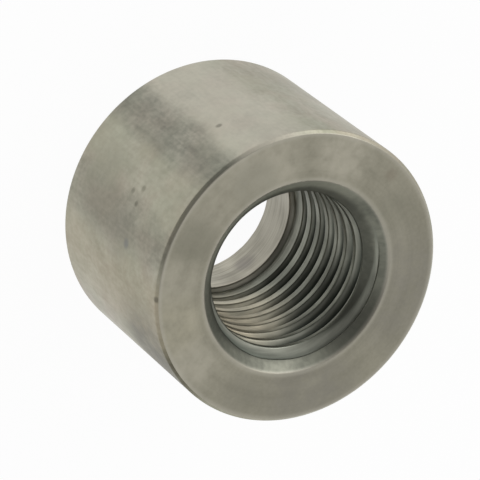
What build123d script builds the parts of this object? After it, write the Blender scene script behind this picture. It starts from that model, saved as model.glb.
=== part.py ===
from build123d import *
import math
import os

# A weld bung: a short round boss, turned in one piece from cold-drawn mild steel bar.
# It stands on its plain end, with the axis of the hole up along +Z and the threaded mouth on top.
# All sizes are in millimetres.

# The bar and its two faced ends
outer_diameter = 22.225  # 7/8 in bar, left as drawn on the outside
body_length = 15.875  # 5/8 in from end face to end face
mouth_edge_break = 0.25  # 45 degree break round the outer edge of the threaded end
foot_edge_break = 0.25  # the same round the plain end, which is welded

# The hole, drilled through and then opened from the mouth for a 1/4-18 pipe thread
exit_drill_diameter = 11.1125  # 7/16 in drill, right through
tap_drill_diameter = 11.90625  # 15/32 in drill, the wall that the thread is cut into
tap_drill_depth = 12.0  # depth of that wider hole, measured at its full diameter
tap_drill_point_angle = 118.0  # included angle of the shoulder that the drill's point leaves
mouth_countersink_diameter = 14.8  # rim of the countersink on the threaded end
mouth_countersink_angle = 90.0  # included angle of that countersink
foot_deburr = 0.1  # burr taken off the drill's exit on the plain end

# Worked out from the sizes above
outer_radius = outer_diameter / 2
exit_radius = exit_drill_diameter / 2
bore_radius = tap_drill_diameter / 2
countersink_radius = mouth_countersink_diameter / 2
countersink_depth = (countersink_radius - bore_radius) / math.tan(math.radians(mouth_countersink_angle / 2))
shoulder_height = (bore_radius - exit_radius) / math.tan(math.radians(tap_drill_point_angle / 2))


def outside_of_section():
    """The outer side of the half section, from the foot face up to the mouth face, as (radius, height)."""
    return [
        (outer_radius - foot_edge_break, 0),
        (outer_radius, foot_edge_break),
        (outer_radius, body_length - mouth_edge_break),
        (outer_radius - mouth_edge_break, body_length),
    ]


def hole_side_of_section():
    """The hole's side of the half section, from the mouth face down the countersink and bore to the foot."""
    return [
        (countersink_radius, body_length),
        (bore_radius, body_length - countersink_depth),
        (bore_radius, body_length - tap_drill_depth),
        (exit_radius, body_length - tap_drill_depth - shoulder_height),
        (exit_radius, foot_deburr),
        (exit_radius + foot_deburr, 0),
    ]


def half_section():
    """The turned profile on one side of the axis, standing in the XZ plane."""
    corners = outside_of_section() + hole_side_of_section()
    return Plane.XZ * make_face(Polyline(*corners, close=True))


def turned_bung():
    """The whole bung: its half section turned once round the axis of the hole."""
    return revolve(half_section(), axis=Axis.Z, revolution_arc=360)


bung_body = turned_bung()
bung_body.label = "bung_body"

os.makedirs("parts", exist_ok=True)
export_step(bung_body, "parts/bung_body.step")
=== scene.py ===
"""A weld bung in bare turned steel, standing on its plain end with its threaded mouth up.

All sizes are in millimetres and become metres where a mesh, a pattern, a lamp or the camera is
made. Heights are measured up from the plain end along the axis of the hole, depths are measured
down from the threaded end, and bearings are degrees round the axis from +X towards +Y.
"""

import logging
import math
from dataclasses import dataclass, field
from enum import Enum

import bpy
import numpy as np
from mathutils import Matrix


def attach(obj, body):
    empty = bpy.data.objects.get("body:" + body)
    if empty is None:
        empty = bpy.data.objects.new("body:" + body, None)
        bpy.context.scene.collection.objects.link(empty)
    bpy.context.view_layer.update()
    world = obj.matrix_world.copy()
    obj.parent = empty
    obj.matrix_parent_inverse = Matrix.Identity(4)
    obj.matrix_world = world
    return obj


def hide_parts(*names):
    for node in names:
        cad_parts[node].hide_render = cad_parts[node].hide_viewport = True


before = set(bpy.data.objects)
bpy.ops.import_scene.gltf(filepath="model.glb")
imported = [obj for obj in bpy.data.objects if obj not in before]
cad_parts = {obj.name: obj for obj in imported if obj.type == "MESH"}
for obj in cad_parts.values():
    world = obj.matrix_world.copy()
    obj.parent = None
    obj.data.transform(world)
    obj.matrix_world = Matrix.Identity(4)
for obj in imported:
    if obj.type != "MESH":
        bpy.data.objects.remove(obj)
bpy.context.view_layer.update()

log = logging.getLogger("weld_bung")

MM = 0.001  # one millimetre, in metres
RELIEF = 0.01  # how high the finishes' relief stands
Tree = bpy.types.NodeTree
Socket = bpy.types.NodeSocket
Span = tuple[float, float]
Triple = tuple[float, float, float]
LIGHT_SIDE: Triple = (-0.96, -0.02, 0.30)  # where the brightest light comes from


def linear(hex_colour: str) -> tuple[float, float, float, float]:
    """Turns an sRGB hex colour into linear red, green, blue and alpha.

    Args:
        hex_colour: six hex digits after a hash, such as "#8F8C80".

    Returns:
        The colour in linear light, with an alpha of 1.
    """
    parts = [int(hex_colour[i : i + 2], 16) / 255 for i in (1, 3, 5)]
    r, g, b = (p / 12.92 if p <= 0.04045 else ((p + 0.055) / 1.055) ** 2.4 for p in parts)
    return r, g, b, 1.0


def around(bearing: float, reach: float, height: float) -> Triple:
    """Turns a bearing, a distance from the axis and a height into x, y and z."""
    turn = math.radians(bearing)
    return reach * math.cos(turn), reach * math.sin(turn), height


def add(
    tree: Tree,
    kind: str,
    inputs: dict[str | int, object] | None = None,
    **settings: object,
) -> bpy.types.Node:
    """Adds a node with its settings, and fills or links its inputs.

    Args:
        tree: the node tree that the node goes into.
        kind: Blender's name for the kind of node.
        inputs: for each input, by name or number, a value or the output that it is linked to.
        settings: the node's own settings, such as operation or data_type.

    Returns:
        The new node.
    """
    node = tree.nodes.new(kind)
    for name, value in settings.items():
        setattr(node, name, value)
    for name, value in (inputs or {}).items():
        if isinstance(value, Socket):
            tree.links.new(value, node.inputs[name])
        else:
            node.inputs[name].default_value = value
    return node


class Face(Enum):
    """The surfaces that were made in different ways, numbered as their material slots."""

    DRAWN_WALL = 0
    TURNED_MOUTH = 1
    HOLE = 2
    TURNED_FOOT = 3


class Share(Enum):
    """The shares that each point of the hole keeps for its finish, in the mesh's attributes."""

    GROOVE = "groove"
    CONE = "cone"


@dataclass(frozen=True)
class Streak:
    """A lighter or darker band that runs along the bar, here mostly painted highlight and painted
    shade.

    The bearing and the half width are in degrees, and share is how much of its colour shows.
    """

    bearing: float
    half_width: float
    colour: str
    share: float


@dataclass(frozen=True)
class Stain:
    """A soft round mark: a real stain or pit in some places, a patch of painted light or shade in
    others.

    Its middle is given by a bearing, a distance from the axis and a height, and share is how much
    of its colour shows.
    """

    bearing: float
    reach: float
    height: float
    radius: float
    colour: str
    share: float


@dataclass(frozen=True)
class Finish:
    """A face of bare mild steel, with the pattern that its way of making left on it.

    The colour is that of clean metal, and dull is that of the same metal under oil and oxide. The
    roughness goes from its first value where the metal is dull to its second where it is clean.
    Relief is how strongly the pattern tilts the surface.
    """

    name: str
    colour: str
    dull: str
    stains_and_painted_light: tuple[Stain, ...] = ()
    roughness: Span = (0.50, 0.38)
    relief: float = 0.25

    def paint(self, tree: Tree, place: Socket) -> dict[str, object]:
        """Lays on the pattern, and gives what goes into the shader's inputs, by their names."""
        raise NotImplementedError

    def cloud(
        self,
        tree: Tree,
        place: Socket,
        size: Triple,
        detail: float = 3.0,
        contrast: float = 0.15,
    ) -> Socket:
        """Spreads an uneven cloud over the metal.

        Args:
            tree: the material's node tree.
            place: the shaded point, in millimetres.
            size: how far one cloud reaches along x, y and z, in millimetres.
            detail: how many finer clouds lie in it.
            contrast: half the spread of noise that becomes the whole way from 0 to 1.

        Returns:
            A value from 0 to 1, evenly about a half.
        """
        shrink = {0: place, 1: tuple(1 / s for s in size)}
        shrunk = add(tree, "ShaderNodeVectorMath", shrink, operation="MULTIPLY").outputs[0]
        waves = {"Vector": shrunk, "Scale": 1.0, "Detail": detail}
        noise = add(tree, "ShaderNodeTexNoise", waves).outputs[0]
        spread = {"Value": noise, "From Min": 0.5 - contrast, "From Max": 0.5 + contrast}
        return add(tree, "ShaderNodeMapRange", spread).outputs[0]

    def toned(
        self, tree: Tree, tone: Socket, layers: tuple[tuple[float, Socket], ...]
    ) -> tuple[Socket, Socket]:
        """Mixes further patterns into a tone, and colours the metal by it from dull to clean.

        Args:
            tree: the material's node tree.
            tone: the first pattern.
            layers: the others in turn, each after the share of the tone that it takes over.

        Returns:
            The tone, from 0 to 1, and the metal's colour.
        """
        for share, pattern in layers:
            both = {0: share, 2: tone, 3: pattern}
            tone = add(tree, "ShaderNodeMix", both, data_type="FLOAT").outputs[0]
        metal = {0: tone, 6: linear(self.dull), 7: linear(self.colour)}
        return tone, add(tree, "ShaderNodeMix", metal, data_type="RGBA").outputs[2]

    def filmed(
        self,
        tree: Tree,
        colour: Socket,
        film: str,
        value: Socket,
        span: Span,
        cover: float = 1.0,
    ) -> Socket:
        """Lays a film over a colour, which comes in smoothly as a value goes along a span.

        Args:
            tree: the material's node tree.
            colour: the colour under the film.
            film: the film's own colour.
            value: the value that the film follows, such as a height.
            span: where the film comes in, and where it is full.
            cover: how much of the film shows where it is full.

        Returns:
            The colour with its film.
        """
        fade = {"Value": value, "From Min": span[0], "From Max": span[1], "To Max": cover}
        share = add(tree, "ShaderNodeMapRange", fade, interpolation_type="SMOOTHSTEP").outputs[0]
        over = {0: share, 6: colour, 7: linear(film)}
        return add(tree, "ShaderNodeMix", over, data_type="RGBA").outputs[2]

    def stained_and_painted_light(
        self,
        tree: Tree,
        place: Socket,
        colour: Socket,
        ragged: Socket,
    ) -> Socket:
        """Lays the stains and the patches of painted light and shade over a colour, each fading out
        from half its radius to one and a half.

        Where the cloud is dark, a stain shows half as much.

        Args:
            tree: the material's node tree.
            place: the shaded point, in millimetres.
            colour: the colour under the stains.
            ragged: a cloud that breaks the stains up.

        Returns:
            The stained colour.
        """
        for stain in self.stains_and_painted_light:
            apart = {0: place, 1: around(stain.bearing, stain.reach, stain.height)}
            far = add(tree, "ShaderNodeVectorMath", apart, operation="DISTANCE").outputs["Value"]
            fade = {"Value": far, "From Min": stain.radius * 1.5, "From Max": stain.radius * 0.5}
            near = add(tree, "ShaderNodeMapRange", fade, interpolation_type="SMOOTHSTEP").outputs[0]
            broken = {"Value": ragged, "To Min": stain.share * 0.5, "To Max": stain.share}
            patchy = add(tree, "ShaderNodeMapRange", broken).outputs[0]
            share = add(tree, "ShaderNodeMath", {0: near, 1: patchy}, operation="MULTIPLY").outputs[0]
            over = {0: share, 6: colour, 7: linear(stain.colour)}
            colour = add(tree, "ShaderNodeMix", over, data_type="RGBA").outputs[2]
        return colour

    def surfaced(
        self, tree: Tree, colour: Socket, tone: Socket, height: Socket
    ) -> dict[str, object]:
        """Gives a painted colour its roughness and its relief.

        Args:
            tree: the material's node tree.
            colour: the painted colour.
            tone: the pattern that the roughness follows.
            height: the pattern that stands up from the metal.

        Returns:
            What goes into the shader's inputs, by their names.
        """
        worn = {"Value": tone, "To Min": self.roughness[0], "To Max": self.roughness[1]}
        rough = add(tree, "ShaderNodeMapRange", worn).outputs[0]
        relief = {"Strength": self.relief, "Distance": RELIEF * MM, "Height": height}
        bump = add(tree, "ShaderNodeBump", relief).outputs[0]
        return {"Base Color": colour, "Roughness": rough, "Normal": bump}

    def material(self) -> bpy.types.Material:
        """Makes the material.

        Returns:
            A metal whose inputs come from the pattern.
        """
        material = bpy.data.materials.new(self.name)
        material.use_nodes = True
        tree = material.node_tree
        tree.nodes.clear()
        grown = {0: add(tree, "ShaderNodeTexCoord").outputs["Object"], "Scale": 1 / MM}
        place = add(tree, "ShaderNodeVectorMath", grown, operation="SCALE").outputs[0]
        metal = add(tree, "ShaderNodeBsdfPrincipled", {"Metallic": 1.0, **self.paint(tree, place)})
        add(tree, "ShaderNodeOutputMaterial", {"Surface": metal.outputs[0]})
        return material


@dataclass(frozen=True)
class DrawnSkin(Finish):
    """The skin of cold-drawn mild steel bar, as the die left it.

    It gives the eye a soft warm grey sheen, broken by fine lines along the axis, by bands along
    the bar, mostly painted highlight and painted shade, and by a few small dark pits.

    Sizes are those of one cloud of each pattern. Wander is how far noise can push the bands to
    either side.
    """

    bands_and_painted_light: tuple[Streak, ...] = ()
    warm: str = "#A99C8C"
    cool: str = "#9B9F8A"
    patch_size: Triple = (3.6, 3.6, 6.5)
    mottle_size: Triple = (1.0, 1.0, 1.3)
    line_size: Triple = (0.25, 0.25, 9.0)
    grain_size: Triple = (0.32, 0.32, 0.42)
    mottle_share: float = 0.40
    line_share: float = 0.18
    grain_share: float = 0.22
    warm_size: float = 2.6
    cool_size: float = 3.1
    tint_stretch: float = 1.4
    tint_share: float = 0.35
    wander: float = 0.8
    wander_per_mm: float = 0.3
    band_tones: Span = (0.2, 0.8)
    band_shades: Span = (0.88, 1.10)
    band_fall: float = 0.6

    def paint(self, tree: Tree, place: Socket) -> dict[str, object]:
        """Lays clouds drawn out along the bar, the die's lines, the bands, mostly painted light and
        shade, and the pits on it.

        The die's lines are really 0.05 mm wide. They are drawn 0.25 mm wide, and the grain about
        0.3 mm, which is what the render can show.

        Args:
            tree: the material's node tree.
            place: the shaded point on the object, in millimetres.

        Returns:
            What goes into the shader's inputs, by their names.
        """
        patches = self.cloud(tree, place, self.patch_size, detail=4.0)
        mottle = self.cloud(tree, place, self.mottle_size, detail=3.0)
        grain = self.cloud(tree, place, self.grain_size, detail=1.0)
        lines = self.cloud(tree, place, self.line_size, detail=2.0)
        layers = ((self.mottle_share, mottle), (self.line_share, lines), (self.grain_share, grain))
        tone, colour = self.toned(tree, patches, layers)
        for size, hue in ((self.warm_size, self.warm), (self.cool_size, self.cool)):
            reach = (size, size, size * self.tint_stretch)
            tint = self.cloud(tree, place, reach, detail=2.0, contrast=0.1)
            thin = {0: tint, 1: self.tint_share}
            share = add(tree, "ShaderNodeMath", thin, operation="MULTIPLY").outputs[0]
            over = {0: share, 6: colour, 7: linear(hue)}
            colour = add(tree, "ShaderNodeMix", over, data_type="RGBA").outputs[2]
        colour = self.with_bands_and_painted_light(tree, place, colour, tone)
        colour = self.stained_and_painted_light(tree, place, colour, mottle)
        both = {0: 0.5, 2: mottle, 3: lines}
        height = add(tree, "ShaderNodeMix", both, data_type="FLOAT").outputs[0]
        return self.surfaced(tree, colour, tone, height)

    def with_bands_and_painted_light(
        self,
        tree: Tree,
        place: Socket,
        colour: Socket,
        tone: Socket,
    ) -> Socket:
        """Lays the bands, mostly painted highlight and shade, over a colour, each fading out from its
        middle to twice its half width.

        The bands wander a little, because noise shifts each point before its bearing is taken.

        Args:
            tree: the material's node tree.
            place: the shaded point, in millimetres.
            colour: the colour under the bands.
            tone: the metal's own pattern, which breaks the bands up and shows through them.

        Returns:
            The colour with its bands.
        """
        waves = {"Vector": place, "Scale": self.wander_per_mm, "Detail": 2.0}
        drift = add(tree, "ShaderNodeTexNoise", waves).outputs["Color"]
        far = self.wander
        spread = {0: drift, 1: (2 * far, 2 * far, 0), 2: (-far, -far, 0)}
        shift = add(tree, "ShaderNodeVectorMath", spread, operation="MULTIPLY_ADD").outputs[0]
        level = {0: place, 1: (1, 1, 0)}
        flat = add(tree, "ShaderNodeVectorMath", level, operation="MULTIPLY").outputs[0]
        moved = add(tree, "ShaderNodeVectorMath", {0: flat, 1: shift}, operation="ADD").outputs[0]
        outward = add(tree, "ShaderNodeVectorMath", {0: moved}, operation="NORMALIZE").outputs[0]
        tones = {"Value": tone, "From Min": self.band_tones[0], "From Max": self.band_tones[1]}
        shades = {**tones, "To Min": self.band_shades[0], "To Max": self.band_shades[1]}
        shade = add(tree, "ShaderNodeMapRange", shades).outputs[0]
        for streak in self.bands_and_painted_light:
            aim = {0: outward, 1: around(streak.bearing, 1, 0)}
            inline = add(tree, "ShaderNodeVectorMath", aim, operation="DOT_PRODUCT").outputs["Value"]
            edge = math.cos(math.radians(streak.half_width * 2))
            fade = {"Value": inline, "From Min": edge, "From Max": 1.0}
            band = add(tree, "ShaderNodeMapRange", fade, interpolation_type="SMOOTHSTEP").outputs[0]
            broken = {**tones, "To Min": streak.share, "To Max": streak.share * self.band_fall}
            patchy = add(tree, "ShaderNodeMapRange", broken).outputs[0]
            share = add(tree, "ShaderNodeMath", {0: band, 1: patchy}, operation="MULTIPLY").outputs[0]
            shaded = {0: linear(streak.colour)[:3], "Scale": shade}
            mark = add(tree, "ShaderNodeVectorMath", shaded, operation="SCALE").outputs[0]
            over = {0: share, 6: colour, 7: mark}
            colour = add(tree, "ShaderNodeMix", over, data_type="RGBA").outputs[2]
        return colour


@dataclass(frozen=True)
class FacedEnd(Finish):
    """An end of the bung, faced on a lathe.

    It gives the eye faint rings, where the tool fed across, under soft clouds of oxide, with a
    brighter line at each edge that is partly wear and partly a painted highlight. On the mouth,
    patches of painted light and shade lie over it too.

    Sizes are those of one cloud of each pattern. Sweeps are the broad rings. The edges are given as
    their distance from the axis.
    """

    roughness: Span = (0.48, 0.36)
    relief: float = 0.35
    patch_size: float = 3.2
    mottle_size: float = 0.9
    grain_size: float = 0.3
    sweeps_per_mm: float = 0.9
    sweep_noise: Span = (0.35, 0.65)
    mottle_share: float = 0.3
    sweep_share: float = 0.3
    ring_share: float = 0.2
    grain_share: float = 0.15
    mottle_relief: float = 0.35
    feed: float = 0.22
    inner_edge: float = field(kw_only=True)
    outer_edge: float = 10.86
    # the worn edge colour is partly wear and partly a painted highlight on the edges
    worn: str = "#BDB9AC"
    worn_highlight_share: float = 0.4
    worn_highlight_width: float = 0.35

    def paint(self, tree: Tree, place: Socket) -> dict[str, object]:
        """Lays rings, clouds, stains, patches of painted light and shade, and worn edges with a
        painted highlight over the metal.

        The rings are noise along the distance from the axis: fine ones at the tool's feed, which is
        really 0.1 mm and is drawn two or three times as coarse to show in the render, and broad
        ones where the tool slowed. The grain, about 0.3 mm wide, is drawn coarser than it is too.

        Args:
            tree: the material's node tree.
            place: the shaded point on the object, in millimetres.

        Returns:
            What goes into the shader's inputs, by their names.
        """
        patches = self.cloud(tree, place, (self.patch_size,) * 3, detail=4.0)
        mottle = self.cloud(tree, place, (self.mottle_size,) * 3, detail=3.0)
        grain = self.cloud(tree, place, (self.grain_size,) * 3, detail=1.0)
        level = {0: place, 1: (1, 1, 0)}
        flat = add(tree, "ShaderNodeVectorMath", level, operation="MULTIPLY").outputs[0]
        reach = add(tree, "ShaderNodeVectorMath", {0: flat}, operation="LENGTH").outputs["Value"]
        fine = {"W": reach, "Scale": 1 / self.feed, "Detail": 1.0}
        rings = add(tree, "ShaderNodeTexNoise", fine, noise_dimensions="1D").outputs[0]
        broad = {"W": reach, "Scale": self.sweeps_per_mm, "Detail": 2.0}
        noise = add(tree, "ShaderNodeTexNoise", broad, noise_dimensions="1D").outputs[0]
        spread = {"Value": noise, "From Min": self.sweep_noise[0], "From Max": self.sweep_noise[1]}
        sweeps = add(tree, "ShaderNodeMapRange", spread).outputs[0]
        layers = (
            (self.mottle_share, mottle),
            (self.sweep_share, sweeps),
            (self.ring_share, rings),
            (self.grain_share, grain),
        )
        tone, colour = self.toned(tree, patches, layers)
        colour = self.stained_and_painted_light(tree, place, colour, mottle)
        # the lighter lines at both edges are partly wear and partly a painted highlight
        inner = (self.inner_edge + self.worn_highlight_width, self.inner_edge)
        outer = (self.outer_edge - self.worn_highlight_width, self.outer_edge)
        for span in (inner, outer):
            colour = self.filmed(tree, colour, self.worn, reach, span, self.worn_highlight_share)
        both = {0: self.mottle_relief, 2: rings, 3: mottle}
        height = add(tree, "ShaderNodeMix", both, data_type="FLOAT").outputs[0]
        return self.surfaced(tree, colour, tone, height)


@dataclass(frozen=True)
class CountersunkMouth(Finish):
    """The cone at the mouth, cut by a countersink that chattered.

    It gives the eye a dull ring with short marks across it, a brighter lip that is partly wear and
    partly a painted highlight, and a dark line of old oil where the cone meets the bore.

    Chatter is the width of a mark, and cover is how much of the oil and of the worn metal shows.
    The depths, where each of those two comes in and where it is full, are below the lip.
    """

    roughness: Span = (0.50, 0.40)
    patch_size: float = 2.5
    chatter: float = 0.35
    mark_length: float = 4.0
    mark_share: float = 0.35
    # the worn lip's lighter colour is partly wear and partly a painted highlight
    worn: str = "#B5B2A6"
    worn_highlight_depths: Span = (0.25, 0.05)
    oil: str = "#45463F"
    oil_depths: Span = (0.5, 1.0)
    cover: float = 0.6
    lip: float = field(kw_only=True)

    def paint(self, tree: Tree, place: Socket) -> dict[str, object]:
        """Lays clouds and the tool's short marks over the metal, then the oil and the worn lip with
        its painted highlight.

        The marks are noise that hardly changes with height, so each runs down the cone. They are
        really 0.2 mm wide and are drawn 0.35 mm wide to show in the render. The oil stays down to
        the foot of the cone, and the worn metal, whose lighter colour is partly a painted highlight,
        up to the lip.

        Args:
            tree: the material's node tree.
            place: the shaded point on the object, in millimetres.

        Returns:
            What goes into the shader's inputs, by their names.
        """
        patches = self.cloud(tree, place, (self.patch_size,) * 3, detail=3.0)
        mark_size = (self.chatter, self.chatter, self.mark_length)
        marks = self.cloud(tree, place, mark_size, detail=2.0)
        tone, colour = self.toned(tree, patches, ((self.mark_share, marks),))
        colour = self.stained_and_painted_light(tree, place, colour, patches)
        height = add(tree, "ShaderNodeSeparateXYZ", {0: place}).outputs["Z"]
        for film, (start, end) in ((self.oil, self.oil_depths), (self.worn, self.worn_highlight_depths)):
            span = (self.lip - start, self.lip - end)
            colour = self.filmed(tree, colour, film, height, span, self.cover)
        return self.surfaced(tree, colour, tone, marks)


@dataclass(frozen=True)
class TappedHole(Finish):
    """The hole's wall, drilled, countersunk and then cut by a tap.

    It gives the eye a bright drilled stretch and duller crests above it, with painted shade down
    between the crests, darkest at the roots and tinted slightly green by old cutting oil, and fine
    torn lines that run along the thread. The mouth is the countersink's finish.

    Flank is the share of the full groove over which the metal turns from the crests' colour to the
    dull one, and the next span is the share over which it turns from that to the roots' painted
    shade. Shades are how dark and how bright the lines and clouds make it.
    """

    roughness: Span = (0.46, 0.34)
    relief: float = 0.3
    crest: str = "#85877C"
    # the roots' colour is painted shade in the grooves, tinted slightly green by old cutting oil
    root: str = "#535A52"
    patch_size: float = 2.2
    line_size: Triple = (3.0, 3.0, 0.12)
    flank: Span = (0.0, 0.12)
    root_shade_span: Span = (0.10, 0.70)
    shades: Span = (0.72, 1.22)
    shoulder: float = 3.8
    shoulder_blend: float = 0.1
    mouth: CountersunkMouth = field(kw_only=True)

    def paint(self, tree: Tree, place: Socket) -> dict[str, object]:
        """Colours the wall by how deep the tap cut it, with painted shade towards the roots, adds
        torn lines and blends in the cone.

        The crests' colour gives way to the drilled stretch's over 0.2 mm at the shoulder. The torn
        lines are drawn 0.12 mm wide along the axis and 3 mm long, twice as coarse as they are.

        Args:
            tree: the material's node tree.
            place: the shaded point on the object, in millimetres.

        Returns:
            What goes into the shader's inputs, by their names.
        """
        groove = add(tree, "ShaderNodeAttribute", attribute_name=Share.GROOVE.value).outputs["Fac"]
        patches = self.cloud(tree, place, (self.patch_size,) * 3, detail=3.0)
        lines = self.cloud(tree, place, self.line_size, detail=2.0)
        height = add(tree, "ShaderNodeSeparateXYZ", {0: place}).outputs["Z"]
        low, high = self.shoulder - self.shoulder_blend, self.shoulder + self.shoulder_blend
        step = {"Value": height, "From Min": low, "From Max": high}
        above = add(tree, "ShaderNodeMapRange", step).outputs[0]
        drilled = {0: above, 6: linear(self.colour), 7: linear(self.crest)}
        colour = add(tree, "ShaderNodeMix", drilled, data_type="RGBA").outputs[2]
        colour = self.filmed(tree, colour, self.dull, groove, self.flank)
        # painted shade: the colour darkens to the roots' colour as the groove deepens
        colour = self.filmed(tree, colour, self.root, groove, self.root_shade_span)
        both = {0: 0.5, 2: patches, 3: lines}
        tone = add(tree, "ShaderNodeMix", both, data_type="FLOAT").outputs[0]
        shades = {"Value": tone, "To Min": self.shades[0], "To Max": self.shades[1]}
        shaded = {0: colour, "Scale": add(tree, "ShaderNodeMapRange", shades).outputs[0]}
        colour = add(tree, "ShaderNodeVectorMath", shaded, operation="SCALE").outputs[0]
        colour = self.stained_and_painted_light(tree, place, colour, patches)
        wall = self.surfaced(tree, colour, tone, lines)

        on_cone = add(tree, "ShaderNodeAttribute", attribute_name=Share.CONE.value).outputs["Fac"]
        cone = self.mouth.paint(tree, place)
        blended: dict[str, object] = {}
        for name, kind, first, out in (
            ("Base Color", "RGBA", 6, 2),
            ("Roughness", "FLOAT", 2, 0),
            ("Normal", "VECTOR", 4, 1),
        ):
            over = {0: on_cone, first: wall[name], first + 1: cone[name]}
            blended[name] = add(tree, "ShaderNodeMix", over, data_type=kind).outputs[out]
        return blended


@dataclass(frozen=True)
class PipeThread:
    """A right-handed taper pipe thread, cut into the drilled wall from the mouth by a tap."""

    pitch: float = 25.4 / 18
    root_radius_at_mouth: float = 6.86
    taper: float = 1 / 32
    root_flat: float = 0.054
    full_depth: float = 11.0
    run_out_depth: float = 12.0
    start_turn: float = 0.814

    def root_radius(self, depth: np.ndarray) -> np.ndarray:
        """Radius of the full thread's root at a depth below the mouth face."""
        return self.root_radius_at_mouth - self.taper * depth

    def groove_radius(self, angle: np.ndarray, depth: np.ndarray, wall: float) -> np.ndarray:
        """Radius that the tap reaches.

        The groove's centre lies where depth plus pitch times angle over a full turn is a whole
        number of pitches. Its root tapers inward with depth, its flanks rise 60 degrees from the
        axis, so the radius falls by the root of 3 for each millimetre away from the root's flat.
        Past the full depth the root fades evenly to the drilled wall.

        Args:
            angle: angle round the axis, in radians.
            depth: depth below the mouth face.
            wall: radius of the drilled wall.

        Returns:
            The radius of the thread's surface, which is below the wall where the tap doesn't reach.
        """
        turns = depth / self.pitch + angle / (2 * math.pi) - self.start_turn
        off_centre = np.abs(turns - np.round(turns)) * self.pitch
        root = self.root_radius(depth)
        fade = np.clip((depth - self.full_depth) / (self.run_out_depth - self.full_depth), 0, 1)
        root = root + (wall - root) * fade
        return root - math.sqrt(3) * np.maximum(off_centre - self.root_flat / 2, 0)


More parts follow.
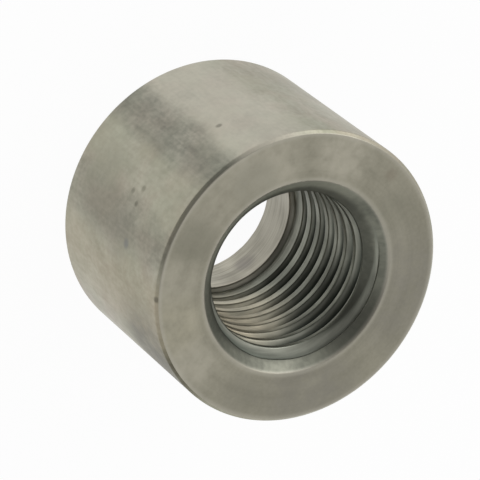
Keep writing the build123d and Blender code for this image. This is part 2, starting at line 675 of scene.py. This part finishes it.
@dataclass
class WeldBung:
    """The whole bung: one turned piece with a countersunk, tapped hole.

    The cone blend is how far the countersink's cone has to clear the rest before its finish is
    full. The margins are how far from an edge the rows beside it lie, which keep the shading of the
    flats even.
    """

    outer_radius: float = 22.225 / 2
    length: float = 15.875
    exit_radius: float = 11.1125 / 2
    bore_radius: float = 11.90625 / 2
    bore_depth: float = 12.0
    bore_point_angle: float = 118.0
    countersink_radius: float = 14.8 / 2
    countersink_angle: float = 90.0
    mouth_break: float = 0.25
    foot_break: float = 0.25
    foot_deburr: float = 0.1
    lip_round: float = 0.3
    edge_round: float = 0.16
    cone_blend: float = 0.06
    columns: int = 216
    rows_per_pitch: int = 24
    wall_rows: int = 12
    arc_points: int = 6
    wall_margin: float = 0.4
    face_margins: Span = (0.2, 0.5)
    exit_margins: Span = (0.3, 0.06)
    thread: PipeThread = field(default_factory=PipeThread)

    @property
    def lip_depth(self) -> float:
        """Depth at which the rounded lip runs into the countersink's cone."""
        lean = math.radians(self.countersink_angle / 2)
        return self.lip_round * math.tan((math.pi / 2 - lean) / 2) * math.cos(lean)

    def hole_radius(
        self, angle: np.ndarray, depth: np.ndarray
    ) -> tuple[np.ndarray, np.ndarray, np.ndarray]:
        """Radius of the hole's surface, and what cut it.

        It is the largest of the drilled wall, the countersink's cone, the small cone of the
        deburred exit, and the thread. The drilled wall is the wide bore down to its depth, then the
        shoulder that the drill's point left, then the narrow exit.

        Args:
            angle: angle round the axis, in radians.
            depth: depth below the mouth face.

        Returns:
            The radius at each angle and depth, how far the tap has cut past what the drill and the
            countersink left, as a share of the full groove, and how surely the point lies on the
            cone, from 0 to 1.
        """
        cone = self.countersink_radius - depth * math.tan(math.radians(self.countersink_angle / 2))
        past = np.maximum(depth - self.bore_depth, 0)
        drilled = self.bore_radius - past * math.tan(math.radians(self.bore_point_angle / 2))
        deburr = self.exit_radius + self.foot_deburr - (self.length - depth)
        drilled = np.maximum.reduce([drilled, np.full_like(depth, self.exit_radius), deburr])
        tapped = self.thread.groove_radius(angle, depth, self.bore_radius)
        tapped = np.where(depth < self.bore_depth, tapped, 0)
        full = self.thread.root_radius(depth) - self.bore_radius
        groove = np.clip((tapped - np.maximum(drilled, cone)) / full, 0, 1)
        on_cone = np.clip((cone - np.maximum(tapped, drilled)) / self.cone_blend, 0, 1)
        return np.maximum.reduce([drilled, cone, tapped]), groove, on_cone

    def hole_surface(self) -> tuple[np.ndarray, np.ndarray, np.ndarray]:
        """The surface of the hole below the lip, on a grid that leans with the thread.

        A column stands at as many equal steps of angle as its number. A row starts at as many equal
        steps of depth as its number and loses one pitch over a turn, as the thread does, so rows
        follow the crests and the last column meets the first one a pitch of rows earlier. Depths
        are cut off at the lip and at the foot, points that fall together are made one, and
        triangles with no area are left out.

        Returns:
            The points, the triangles as triples of point numbers, facing the axis, and each point's
            two shares, of the groove and of the cone.
        """
        turn, fall = self.columns, self.rows_per_pitch
        span = self.length - self.lip_depth
        last = round(span / self.thread.pitch * fall * turn)
        row = np.arange(-fall - 1, math.ceil(last / turn) + fall + 2)[:, None]
        column = np.arange(turn + 1)[None, :]
        step = np.clip(row * turn - column * fall, 0, last)
        unique, number = np.unique(step * turn + column % turn, return_inverse=True)
        number = number.reshape(step.shape)
        angle = unique % turn * (2 * math.pi / turn)
        depth = self.lip_depth + unique // turn * (span / last)
        radius, groove, cone = self.hole_radius(angle, depth)
        x, y = radius * np.cos(angle), radius * np.sin(angle)
        points = np.stack([x, y, self.length - depth], axis=1)
        a, b, c, d = number[:-1, :-1], number[1:, :-1], number[1:, 1:], number[:-1, 1:]
        triangles = np.stack([a, c, b, a, d, c], axis=-1).reshape(-1, 3)
        whole = (np.diff(triangles, axis=1, append=triangles[:, :1]) != 0).all(axis=1)
        return points, triangles[whole], np.stack([groove, cone], axis=1)

    def outline(self) -> tuple[np.ndarray, np.ndarray]:
        """The outside of the section, from the countersink's lip over the wall to the exit.

        Each corner is an arc that runs evenly from one side's direction to the next. Its centre
        lies inside the corner, one radius from both sides.

        Returns:
            Rows of radius and height, and for each stretch between two rows the number of its
            surface.
        """
        top, rim = self.length, self.countersink_radius
        exit_edge = self.exit_radius + self.foot_deburr
        out, mouth, foot = self.outer_radius, self.mouth_break, self.foot_break
        edges = np.array(
            [(rim, top), (out - mouth, top), (out, top - mouth), (out, foot), (out - foot, 0)]
        )
        lip = 180 - self.countersink_angle / 2
        turns = np.array([(lip, 90.0), (90.0, 45.0), (45.0, 0.0), (0.0, -45.0), (-45.0, -90.0)])
        round_off = np.array([self.lip_round] + [self.edge_round] * 4)[:, None]
        along = np.linspace(0, 1, self.arc_points)
        angles = np.radians(turns[:, :1] + (turns[:, 1:] - turns[:, :1]) * along)
        middle = np.radians(turns.mean(axis=1))
        inward = round_off / np.cos(np.radians(turns[:, :1] - turns[:, 1:]) / 2)
        centres = edges - inward * np.stack([np.cos(middle), np.sin(middle)], axis=1)
        rounds = round_off[:, :, None] * np.stack([np.cos(angles), np.sin(angles)], axis=2)
        arcs = centres[:, None, :] + rounds
        wall = np.linspace(top - mouth - self.wall_margin, foot + self.wall_margin, self.wall_rows)
        near, far = self.face_margins
        wide, narrow = self.exit_margins
        rows = np.concatenate(
            [
                arcs[0],
                [(rim + near, top), (rim + far, top)],
                [(out - mouth - far, top), (out - mouth - near, top)],
                arcs[1],
                arcs[2],
                np.stack([np.full_like(wall, out), wall], axis=1),
                arcs[3],
                arcs[4],
                [(out - foot - near, 0), (out - foot - far, 0)],
                [(exit_edge + wide, 0), (exit_edge + narrow, 0), (exit_edge, 0)],
            ]
        )
        middle_height = (rows[1:, 1] + rows[:-1, 1]) / 2
        flat_mouth = middle_height > top - mouth * 0.5
        flat_foot = middle_height < foot * 0.5
        face = np.where(flat_mouth, Face.TURNED_MOUTH.value, Face.DRAWN_WALL.value)
        return rows, np.where(flat_foot, Face.TURNED_FOOT.value, face)

    def outside_surface(self) -> tuple[np.ndarray, np.ndarray, np.ndarray]:
        """The outline turned once round the axis, on the same columns as the hole.

        A point has its row's radius and height, and its column's number of equal steps of angle.

        Returns:
            The points, the triangles facing outwards, and each triangle's surface number.
        """
        rows, face = self.outline()
        angle = np.arange(self.columns) * (2 * math.pi / self.columns)
        radius, height = rows[:, :1], rows[:, 1:]
        shape = (len(rows), self.columns)
        x, y, z = radius * np.cos(angle), radius * np.sin(angle), np.broadcast_to(height, shape)
        points = np.stack([x, y, z], axis=-1).reshape(-1, 3)
        number = np.arange(points.shape[0]).reshape(shape)
        after = np.roll(number, -1, axis=1)
        a, b, c, d = number[:-1], number[1:], after[1:], after[:-1]
        triangles = np.stack([a, b, c, a, c, d], axis=-1).reshape(-1, 3)
        return points, triangles, np.repeat(face, 2 * self.columns)

    def mesh(self) -> bpy.types.Mesh:
        """Joins the hole and the outside into one closed mesh, in metres.

        Points that lie together to a millionth of a millimetre are made one, which closes the rim
        and the exit. Each point keeps its shares of the groove and of the cone.

        Returns:
            The mesh, with a surface number on each triangle.
        """
        hole, hole_triangles, shares = self.hole_surface()
        outside, outside_triangles, outside_face = self.outside_surface()
        points = np.concatenate([hole, outside])
        shares = np.concatenate([shares, np.zeros((len(outside), 2))])
        triangles = np.concatenate([hole_triangles, outside_triangles + len(hole)])
        face = np.concatenate([np.full(len(hole_triangles), Face.HOLE.value), outside_face])
        rounded = np.round(points, 6)
        _, first, number = np.unique(rounded, axis=0, return_index=True, return_inverse=True)
        points, shares, triangles = points[first], shares[first], number.reshape(-1)[triangles]
        mesh = bpy.data.meshes.new("bung_turned_steel")
        mesh.vertices.add(len(points))
        mesh.vertices.foreach_set("co", (points * MM).ravel())
        mesh.loops.add(triangles.size)
        mesh.loops.foreach_set("vertex_index", triangles.ravel())
        mesh.polygons.add(len(triangles))
        mesh.polygons.foreach_set("loop_start", np.arange(0, triangles.size, 3))
        mesh.polygons.foreach_set("material_index", face)
        mesh.update(calc_edges=True)
        mesh.validate()
        mesh.shade_smooth()
        for column, name in enumerate(Share):
            kept = mesh.attributes.new(name.value, "FLOAT", "POINT")
            kept.data.foreach_set("value", shares[:, column].astype(np.float32))
        return mesh

    def finishes(self) -> dict[Face, Finish]:
        """Chooses the finish of each surface, with the marks that the photographed bung has and with
        patches and bands of painted light and shade.

        Returns:
            The finishes, by surface.
        """
        top = self.length
        return {
            Face.DRAWN_WALL: DrawnSkin(
                "cold_drawn_bar_skin",
                "#B3AF9F",
                "#939080",
                stains_and_painted_light=(
                    # the dark stains at bearings 343, 346 and 345, high on the wall near the mouth,
                    # are painted shade
                    Stain(343, 11.1, 13.2, 4.0, "#6C6857", 0.85),
                    Stain(346, 11.1, 14.9, 2.1, "#585448", 0.70),
                    Stain(300, 11.1, 8.8, 1.8, "#77766B", 0.35),
                    Stain(345, 11.1, 11.6, 2.4, "#5E5A4C", 0.60),
                    Stain(290, 11.1, 4.6, 3.0, "#7C796A", 0.50),
                    Stain(196, 11.1, 5.0, 2.6, "#86836F", 0.40),
                    Stain(244, 11.1, 10.75, 0.22, "#5A594E", 0.75),
                    Stain(280, 11.1, 9.8, 0.24, "#6A6858", 0.6),
                    Stain(286, 11.1, 9.85, 0.20, "#5E5C4E", 0.7),
                    Stain(283, 11.1, 8.7, 0.22, "#5A584A", 0.75),
                    Stain(301, 11.1, 10.3, 0.35, "#6A6C70", 0.5),
                    Stain(258, 11.1, 6.6, 0.20, "#66645A", 0.5),
                    Stain(312, 11.0, 15.7, 0.22, "#55534A", 0.7),
                ),
                bands_and_painted_light=(
                    # the light band at 236 is a painted highlight on the lit side of the bar, the
                    # dark bands at 258 and 294 are painted shade, and the band at 322 is a warm tint
                    Streak(236, 10.0, "#C8C4B7", 0.58),
                    Streak(258, 6.0, "#666962", 0.55),
                    Streak(294, 6.0, "#76756A", 0.46),
                    Streak(322, 10.0, "#A79D86", 0.50),
                ),
            ),
            Face.TURNED_MOUTH: FacedEnd(
                "faced_steel_mouth",
                "#A6A292",
                "#8C897A",
                stains_and_painted_light=(
                    # the pale stains at bearings 202 to 346 and the dark ones at 15 to 160 are
                    # painted light and painted shade: the face is lighter on the side the light comes
                    # from and darker away from it
                    Stain(240, 9.6, top, 2.6, "#BBB6A6", 0.55),
                    Stain(325, 9.8, top, 2.2, "#BDB7A2", 0.50),
                    Stain(258, 10.2, top, 5.0, "#B9B4A4", 0.35),
                    Stain(50, 9.6, top, 3.6, "#86837A", 0.60),
                    Stain(118, 8.6, top, 4.2, "#84817A", 0.45),
                    Stain(176, 9.9, top, 0.45, "#76685A", 0.35),
                    Stain(202, 9.6, top, 2.2, "#C0BBAB", 0.60),
                    Stain(346, 9.8, top, 1.8, "#BDB8A8", 0.55),
                    Stain(304, 9.6, top, 1.6, "#B9B4A4", 0.45),
                    Stain(286, 9.3, top, 1.6, "#7B7A6C", 0.45),
                    Stain(247, 8.6, top, 1.7, "#7F7F72", 0.36),
                    Stain(160, 8.6, top, 1.6, "#7E7D70", 0.40),
                    Stain(15, 9.4, top, 1.5, "#807E73", 0.40),
                ),
                inner_edge=self.countersink_radius,
            ),
            Face.HOLE: TappedHole(
                "drilled_and_tapped_wall",
                "#A9A597",
                "#8F9085",
                stains_and_painted_light=(
                    # the pale stain at bearing 22 is painted light on the side of the hole that faces
                    # the light, and the dark one at 112 is painted shade
                    Stain(22, 6.2, 8.0, 4.3, "#D6CEB6", 0.85),
                    Stain(112, 5.6, 1.8, 3.4, "#86837A", 0.45),
                    Stain(14, 6.0, 10.0, 3.0, "#9C8B74", 0.45),
                    Stain(73, 5.6, 2.0, 0.8, "#6F6A68", 0.6),
                ),
                mouth=CountersunkMouth(
                    "countersunk_cone",
                    "#8C8D80",
                    "#6F7167",
                    stains_and_painted_light=(
                        Stain(250, 7.0, 15.4, 7.0, "#CDCEBC", 0.95),
                        Stain(32, 7.0, 15.3, 2.6, "#7C7A70", 0.30),
                        Stain(88, 7.0, 15.2, 2.8, "#5E5D55", 0.35),
                    ),
                    lip=top,
                ),
            ),
            Face.TURNED_FOOT: FacedEnd(
                "faced_steel_foot",
                "#A09C8D",
                "#858274",
                feed=0.3,
                inner_edge=self.exit_radius + self.foot_deburr,
            ),
        }

    def build(self) -> bpy.types.Object:
        """Makes the piece, dresses it, and puts it in place of the solid.

        Returns:
            The piece.
        """
        mesh = self.mesh()
        finishes = self.finishes()
        for face in Face:
            mesh.materials.append(finishes[face].material())
        piece = bpy.data.objects.new("bung_turned_steel", mesh)
        bpy.context.collection.objects.link(piece)
        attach(piece, "root")
        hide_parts("bung_body")
        return piece


@dataclass
class PhotoCamera:
    """The camera where the photograph was taken from, a long way off through a long lens.

    Right and up are the directions of the picture's sides, and nearest is where its view starts.
    """

    position: Triple = (0.467, -157.721, 234.797)
    right: Triple = (-0.628143, 0.639467, 0.443303)
    up: Triple = (-0.778098, -0.51623, -0.35787)
    lens: float = 285.264
    sensor: float = 36.0
    nearest: float = 10.0

    def build(self) -> bpy.types.Object:
        """Makes the camera and gives it to the scene.

        Returns:
            The camera.
        """
        data = bpy.data.cameras.new("photo_camera")
        data.lens, data.sensor_width, data.clip_start = self.lens, self.sensor, self.nearest * MM
        camera = bpy.data.objects.new("photo_camera", data)
        back = np.cross(self.right, self.up)
        turn = Matrix(np.stack([self.right, self.up, back], axis=1).tolist()).to_4x4()
        camera.matrix_world = Matrix.Translation([x * MM for x in self.position]) @ turn
        bpy.context.collection.objects.link(camera)
        bpy.context.scene.camera = camera
        return camera


@dataclass(frozen=True)
class Glow:
    """A soft patch of the room's light.

    It lies towards a direction and has an inner and an outer half angle, in degrees, and a
    brightness.
    """

    towards: Triple
    inner: float
    outer: float
    level: float


@dataclass(frozen=True)
class Softbox:
    """A square area lamp that faces the middle of the bung.

    Towards is the direction from the bung to the lamp, size is the lamp's side, and aim is the
    height on the axis that it faces.
    """

    name: str
    towards: Triple
    distance: float
    size: float
    watts: float
    aim: float = 8.0

    def build(self) -> bpy.types.Object:
        """Makes the lamp and hangs it in its place.

        Returns:
            The lamp.
        """
        data = bpy.data.lights.new(self.name, "AREA")
        data.size, data.energy = self.size * MM, self.watts
        lamp = bpy.data.objects.new(self.name, data)
        out = np.array(self.towards) / np.linalg.norm(self.towards)
        place = out * self.distance + np.array((0, 0, self.aim))
        side = np.cross((0, 0, 1), out)
        side /= np.linalg.norm(side)
        turn = Matrix(np.stack([side, np.cross(out, side), out], axis=1).tolist()).to_4x4()
        lamp.matrix_world = Matrix.Translation([x * MM for x in place]) @ turn
        bpy.context.collection.objects.link(lamp)
        return lamp


@dataclass
class Studio:
    """A pale floor, a softbox and the soft light of a room.

    The climb is how far up, as a share of the way overhead, the room turns from its horizon's
    brightness to the overhead one. The floor's glow is how much of it is plain white light to the
    camera and the steel.
    """

    floor_radius: float = 1500.0
    floor_drop: float = 0.01
    floor_rings: int = 4
    floor_columns: int = 96
    floor_glow: float = 0.96
    paper_colour: str = "#F2F2F2"
    horizon: float = 1.0
    overhead: float = 0.80
    climb: Span = (0.06, 0.30)
    glows: tuple[Glow, ...] = (
        Glow((0.05, -0.68, 0.72), 22, 46, 0.14),
        Glow(LIGHT_SIDE, 10, 34, 1.1),
    )
    key: Softbox = Softbox("key_softbox", LIGHT_SIDE, 600, 400, 0.7)

    def floor(self) -> bpy.types.Object:
        """Makes the floor, a flat disc just under the foot.

        A point has a radius that grows evenly over the rings and an angle that grows evenly round
        them.

        Returns:
            The floor.
        """
        ring = np.linspace(0, self.floor_radius, self.floor_rings + 1)[1:, None]
        angle = np.linspace(0, 2 * math.pi, self.floor_columns + 1)[:-1]
        x, y = ring * np.cos(angle), ring * np.sin(angle)
        points = np.concatenate([[(0, 0, 0)], np.stack([x, y, 0 * x], axis=-1).reshape(-1, 3)])
        points[:, 2] = -self.floor_drop
        number = np.arange(x.size).reshape(x.shape) + 1
        after = np.roll(number, -1, axis=1)
        fan = np.stack([np.zeros(self.floor_columns, int), number[0], after[0]], axis=-1)
        quads = np.stack([number[:-1], number[1:], after[1:], after[:-1]], axis=-1).reshape(-1, 4)
        mesh = bpy.data.meshes.new("studio_floor")
        mesh.from_pydata((points * MM).tolist(), [], fan.tolist() + quads.tolist())
        mesh.materials.append(self.paper())
        floor = bpy.data.objects.new("studio_floor", mesh)
        bpy.context.collection.objects.link(floor)
        return floor

    def paper(self) -> bpy.types.Material:
        """Makes the floor's matt white paper, which the camera and the steel see nearly pure white.

        Returns:
            The material, a diffuse white that keeps a little of the shadow where it is seen.
        """
        material = bpy.data.materials.new("white_paper")
        material.use_nodes = True
        tree = material.node_tree
        tree.nodes.clear()
        path = add(tree, "ShaderNodeLightPath").outputs
        seen = path["Is Camera Ray"]
        for ray in ("Is Glossy Ray", "Is Transmission Ray"):
            either = {0: seen, 1: path[ray]}
            seen = add(tree, "ShaderNodeMath", either, operation="MAXIMUM").outputs[0]
        thin = {0: seen, 1: self.floor_glow}
        share = add(tree, "ShaderNodeMath", thin, operation="MULTIPLY").outputs[0]
        diffuse = add(tree, "ShaderNodeBsdfDiffuse", {"Color": linear(self.paper_colour)})
        glow = add(tree, "ShaderNodeEmission", {"Color": (1, 1, 1, 1), "Strength": 1.0})
        both = {0: share, 1: diffuse.outputs[0], 2: glow.outputs[0]}
        mix = add(tree, "ShaderNodeMixShader", both)
        add(tree, "ShaderNodeOutputMaterial", {"Surface": mix.outputs[0]})
        return material

    def room(self) -> bpy.types.World:
        """Paints the air of the room, white at the horizon and greyer above, with two soft patches.

        A glow's share falls smoothly from 1 within its inner half angle to 0 at its outer one.

        Returns:
            The world.
        """
        world = bpy.data.worlds.new("studio_air")
        bpy.context.scene.world = world
        world.use_nodes = True
        tree = world.node_tree
        tree.nodes.clear()
        way = add(tree, "ShaderNodeTexCoord").outputs["Generated"]
        height = add(tree, "ShaderNodeSeparateXYZ", {0: way}).outputs["Z"]
        low, high = self.climb
        ends = {"To Min": self.horizon, "To Max": self.overhead}
        climb = {"Value": height, "From Min": low, "From Max": high, **ends}
        tone = add(tree, "ShaderNodeMapRange", climb, interpolation_type="SMOOTHSTEP").outputs[0]
        for glow in self.glows:
            middle = np.array(glow.towards) / np.linalg.norm(glow.towards)
            aim = {0: way, 1: tuple(middle)}
            inline = add(tree, "ShaderNodeVectorMath", aim, operation="DOT_PRODUCT").outputs["Value"]
            edge, core = math.cos(math.radians(glow.outer)), math.cos(math.radians(glow.inner))
            fade = {"Value": inline, "From Min": edge, "From Max": core}
            share = add(tree, "ShaderNodeMapRange", fade, interpolation_type="SMOOTHSTEP").outputs[0]
            over = {0: share, 2: tone, 3: glow.level}
            tone = add(tree, "ShaderNodeMix", over, data_type="FLOAT").outputs[0]
        air = add(tree, "ShaderNodeBackground", {"Color": (1, 1, 1, 1), "Strength": tone})
        add(tree, "ShaderNodeOutputWorld", {"Surface": air.outputs[0]})
        return world


def main() -> None:
    """Builds the bung, the camera and the studio in turn, and names each in the log."""
    logging.basicConfig(level=logging.INFO, format="%(name)s: %(message)s")
    bung = WeldBung().build()
    log.info("bung: %d triangles", len(bung.data.polygons))
    log.info("camera: %s", PhotoCamera().build().name)
    studio = Studio()
    log.info("floor: %s", studio.floor().name)
    log.info("key: %s", studio.key.build().name)
    log.info("room: %s", studio.room().name)
    bpy.context.scene.view_settings.view_transform = "Standard"


if __name__ == "__main__":
    main()
